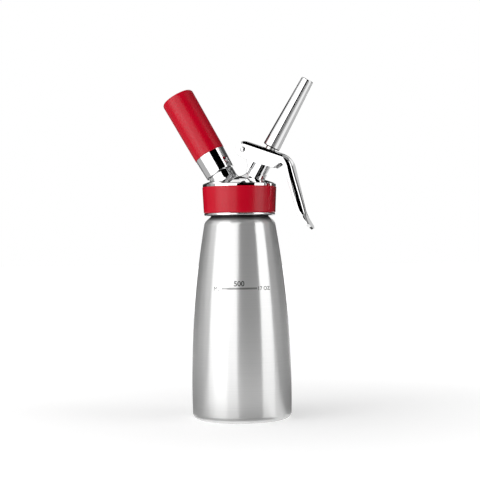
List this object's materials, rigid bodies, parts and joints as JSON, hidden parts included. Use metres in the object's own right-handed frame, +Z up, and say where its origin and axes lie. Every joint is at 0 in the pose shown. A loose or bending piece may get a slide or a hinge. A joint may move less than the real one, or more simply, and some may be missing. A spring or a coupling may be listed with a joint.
{
  "type": "cream whipper",
  "caption": "Cream whipper: brushed steel bottle, screwed head with a red grip band, lever valve with a straight nozzle, and a gas charger in its holder.",
  "frame": {"origin": "middle of the foot ring, on the ground, under the bottle's axis", "axes": "+Z up along the bottle's axis, +X toward the nozzle and lever, -X toward the charger holder, Y across"},
  "size_m": [0.1288, 0.083, 0.2828],
  "materials": {
    "bottle_steel": "fine brushed stainless steel, brushed round the bottle",
    "polished_steel": "mirror polished stainless steel",
    "plain_steel": "turned stainless steel",
    "spring_steel": "drawn spring wire",
    "charger_steel": "plain drawn steel",
    "cap_aluminium": "bare, pressed",
    "red_silicone": "satin moulded silicone",
    "seal_rubber": "matt moulded rubber",
    "bush_polymer": "turned white bearing plastic"
  },
  "bodies": {
    "bottle": {"bottle": "bottle_steel"},
    "gasket": {"head_gasket": "red_silicone"},
    "head": {"head_casting": "polished_steel", "grip_band": "red_silicone", "stem_bush": "bush_polymer", "stem_seal": "seal_rubber", "valve_spring": "spring_steel", "lever_pin": "polished_steel", "piercing_pin": "plain_steel", "charger_seal": "seal_rubber", "check_flap": "seal_rubber", "check_screw": "plain_steel"},
    "lever": {"lever": "polished_steel"},
    "valve": {"valve_stem": "plain_steel", "disc_seal": "seal_rubber", "valve_disc": "plain_steel", "disc_nut": "plain_steel"},
    "nozzle_washer": {"nozzle_seal": "seal_rubber"},
    "nozzle": {"nozzle": "polished_steel"},
    "charger": {"gas_charger": "charger_steel", "charger_cap": "cap_aluminium"},
    "holder": {"holder_shell": "polished_steel", "holder_grip": "red_silicone"}
  },
  "joints": [
    {"name": "head_rise", "type": "slide", "parent": "bottle", "child": "gasket", "axis": [0, 0, 1], "range_m": [0, 0.01]},
    {"name": "head_turn", "type": "hinge", "parent": "gasket", "child": "head", "pos_m": [0, 0, 0.1772], "axis": [0, 0, 1], "range_deg": [0, 900]},
    {"name": "charger_rise", "type": "slide", "parent": "head", "child": "charger", "axis": [-0.5, 0, 0.866], "range_m": [0, 0.012]},
    {"name": "holder_turn", "type": "hinge", "parent": "charger", "child": "holder", "pos_m": [0, 0, 0.1772], "axis": [-0.5, 0, 0.866], "range_deg": [0, 2160]},
    {"name": "lever_press", "type": "hinge", "parent": "head", "child": "lever", "pos_m": [0.0059, 0, 0.22402], "axis": [0, 1, 0], "range_deg": [0, 10], "stiffness_Nm_per_rad": 2, "springref_deg": -11.46},
    {"name": "valve_slide", "type": "slide", "parent": "head", "child": "valve", "axis": [-0.5, 0, -0.866], "range_m": [0, 0.0022], "deforming": ["valve_spring"]},
    {"name": "nozzle_rise", "type": "slide", "parent": "valve", "child": "nozzle_washer", "axis": [0.5, 0, 0.866], "range_m": [0, 0.0075]},
    {"name": "nozzle_turn", "type": "hinge", "parent": "nozzle_washer", "child": "nozzle", "pos_m": [0, 0, 0.1772], "axis": [0.5, 0, 0.866], "range_deg": [0, 2160]}
  ],
  "couplings": [
    {"joint": "head_rise", "follows": "head_turn", "m_per_rad": 0.0006366},
    {"joint": "charger_rise", "follows": "holder_turn", "m_per_rad": 0.0003183},
    {"joint": "valve_slide", "follows": "lever_press", "m_per_rad": 0.0126},
    {"joint": "nozzle_rise", "follows": "nozzle_turn", "m_per_rad": 0.0001989}
  ]
}
